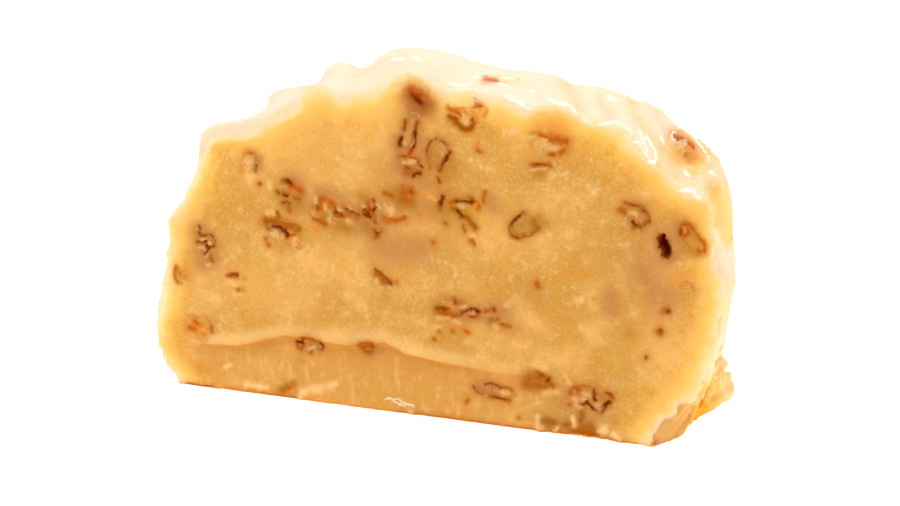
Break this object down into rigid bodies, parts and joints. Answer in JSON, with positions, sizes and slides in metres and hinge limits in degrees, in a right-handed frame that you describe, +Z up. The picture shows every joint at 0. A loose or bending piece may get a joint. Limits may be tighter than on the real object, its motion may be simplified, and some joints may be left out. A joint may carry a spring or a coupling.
{
  "type": "nut fudge slice",
  "caption": "Thick slice of butter fudge cut from a hand-worked loaf, with a softly folded crust, two flat cut faces and chopped pecan pieces set in them",
  "frame": {"origin": "centre of the bounding box seen from above, at the height of the flat base", "axes": "+X along the slice's width (to the right, seen from the front cut), +Y from the front cut to the back cut, +Z up"},
  "size_m": [0.1178, 0.0246, 0.0696],
  "materials": {
    "fudge": "food: soft butter fudge, warm tan and slightly translucent in the cut, pale cream and glossy on the crust",
    "pecan": "food: chopped pecan, tan flesh with a thin dark red-brown skin"
  },
  "bodies": {
    "root": {"fudge": "fudge", "pecan_front_01": "pecan", "pecan_front_02": "pecan", "pecan_front_03": "pecan", "pecan_front_04": "pecan", "pecan_front_05": "pecan", "pecan_front_06": "pecan", "pecan_front_07": "pecan", "pecan_front_08": "pecan", "pecan_front_09": "pecan", "pecan_front_10": "pecan", "pecan_front_11": "pecan", "pecan_front_12": "pecan", "pecan_front_13": "pecan", "pecan_front_14": "pecan", "pecan_front_15": "pecan", "pecan_front_16": "pecan", "pecan_front_17": "pecan", "pecan_front_18": "pecan", "pecan_front_19": "pecan", "pecan_front_20": "pecan", "pecan_front_21": "pecan", "pecan_front_22": "pecan", "pecan_front_23": "pecan", "pecan_front_24": "pecan", "pecan_front_25": "pecan", "pecan_front_26": "pecan", "pecan_front_27": "pecan", "pecan_front_28": "pecan", "pecan_front_29": "pecan", "pecan_front_30": "pecan", "pecan_front_31": "pecan", "pecan_back_01": "pecan", "pecan_back_02": "pecan", "pecan_back_03": "pecan", "pecan_back_04": "pecan", "pecan_back_05": "pecan", "pecan_back_06": "pecan", "pecan_back_07": "pecan", "pecan_back_08": "pecan", "pecan_back_09": "pecan", "pecan_back_10": "pecan", "pecan_back_11": "pecan", "pecan_back_12": "pecan", "pecan_back_13": "pecan", "pecan_crust_01": "pecan", "pecan_crust_02": "pecan", "pecan_crust_03": "pecan", "pecan_crust_04": "pecan"}
  },
  "joints": []
}
